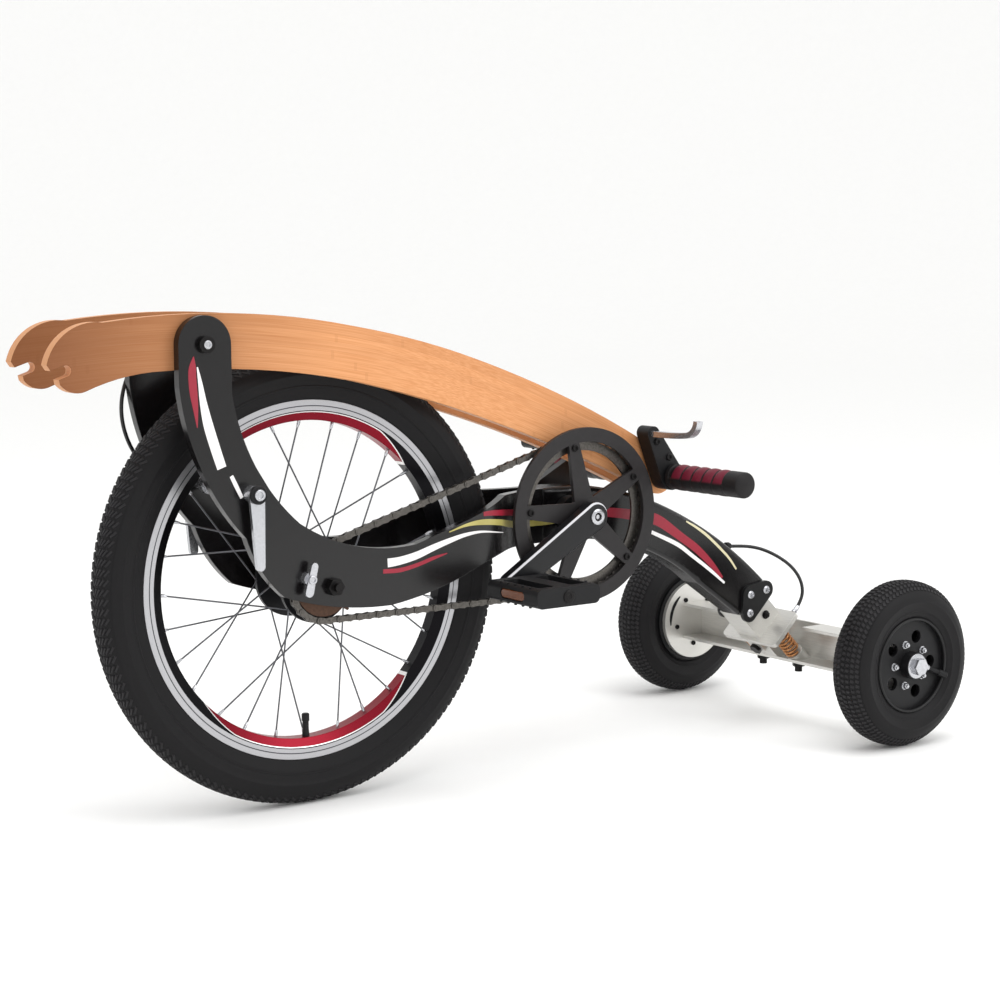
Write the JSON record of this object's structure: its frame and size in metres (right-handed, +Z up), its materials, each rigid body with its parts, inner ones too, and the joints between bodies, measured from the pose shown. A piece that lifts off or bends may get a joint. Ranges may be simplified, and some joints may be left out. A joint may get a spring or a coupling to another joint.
{
  "type": "folding stand-up tricycle",
  "caption": "Stand-up pedal tricycle with a big spoked front wheel, a lean-steered rear truck with small wheels and a bamboo handlebar folded down over the front wheel.",
  "frame": {"origin": "on the ground under the front axle, in the middle plane", "axes": "+X to the rear, +Y to the rider's right, +Z up"},
  "size_m": [1.157, 0.497, 0.5541],
  "materials": {
    "tyre_rubber": "moulded rubber",
    "rim_alloy": "black alloy with machined sides",
    "black_alloy": "satin black",
    "spoke_steel": "drawn wire",
    "frame_paint": "gloss black with stripes",
    "black_steel": "satin black",
    "dark_steel": "black oxide",
    "bright_steel": "zinc plated",
    "bright_alloy": "satin",
    "chain_steel": "oiled steel",
    "sprocket_steel": "brown steel",
    "copper_steel": "copper-coloured spring wire",
    "black_plastic": "moulded",
    "bamboo": "lacquered bamboo",
    "grip_rubber": "soft grip",
    "cable_sheath": "cable sheath"
  },
  "bodies": {
    "frame": {"arm_near": "frame_paint", "arm_far": "frame_paint", "spine": "frame_paint", "cheek_plates": "black_steel", "bb_shell": "black_steel", "front_axle": "dark_steel", "pivot_bolt": "dark_steel", "lock_bolt_near": "bright_steel", "lock_bolt_far": "bright_steel", "lock_lever_near": "bright_steel", "lock_lever_far": "bright_steel", "axle_clamp": "bright_steel", "chain": "chain_steel", "sprocket": "sprocket_steel", "crank_spindle": "dark_steel", "chainring": "chain_steel", "chain_guard": "black_plastic", "crank_near": "black_alloy", "crank_far": "black_alloy", "pedal_near": "black_plastic", "pedal_far": "black_plastic", "truck_bracket": "bright_alloy", "kingpin": "dark_steel", "rear_cable": "cable_sheath", "front_cable": "cable_sheath"},
    "handlebar": {"plank_near": "bamboo", "plank_far": "bamboo", "cross_bar": "black_steel", "bar_spacer": "black_plastic", "grip_near": "grip_rubber", "grip_far": "grip_rubber", "brake_bracket": "black_plastic", "brake_lever": "bright_alloy"},
    "truck": {"axle_beam": "bright_alloy", "knuckle": "bright_alloy", "spring_seats": "bright_alloy", "spring_bolts": "dark_steel", "spring_near": "copper_steel", "spring_far": "copper_steel", "brake_cover_near": "bright_alloy", "brake_cover_far": "bright_alloy", "stub_axle_near": "bright_steel", "stub_axle_far": "bright_steel"},
    "front_wheel": {"front_tyre": "tyre_rubber", "front_rim": "rim_alloy", "front_hub": "black_alloy", "front_spokes": "spoke_steel"},
    "rear_wheel_near": {"rear_tyre_near": "tyre_rubber", "rear_rim_near": "black_plastic"},
    "rear_wheel_far": {"rear_tyre_far": "tyre_rubber", "rear_rim_far": "black_plastic"}
  },
  "joints": [
    {"name": "handlebar_fold", "type": "hinge", "parent": "frame", "child": "handlebar", "pos_m": [-0.1495, 0, 0.522], "axis": [0, -1, 0], "range_deg": [0, 98]},
    {"name": "lean_steer", "type": "hinge", "parent": "frame", "child": "truck", "pos_m": [0.70325, 0, 0.11474], "axis": [0.7071, 0, 0.7071], "range_deg": [-20, 20], "stiffness_Nm_per_rad": 250, "deforming": ["spring_near", "spring_far"]},
    {"name": "front_wheel_spin", "type": "hinge", "parent": "frame", "child": "front_wheel", "pos_m": [0, 0, 0.2535], "axis": [0, 1, 0], "continuous": true},
    {"name": "rear_wheel_near_spin", "type": "hinge", "parent": "truck", "child": "rear_wheel_near", "pos_m": [0.733, -0.211, 0.1045], "axis": [0, 1, 0], "continuous": true},
    {"name": "rear_wheel_far_spin", "type": "hinge", "parent": "truck", "child": "rear_wheel_far", "pos_m": [0.733, 0.211, 0.1045], "axis": [0, 1, 0], "continuous": true}
  ]
}
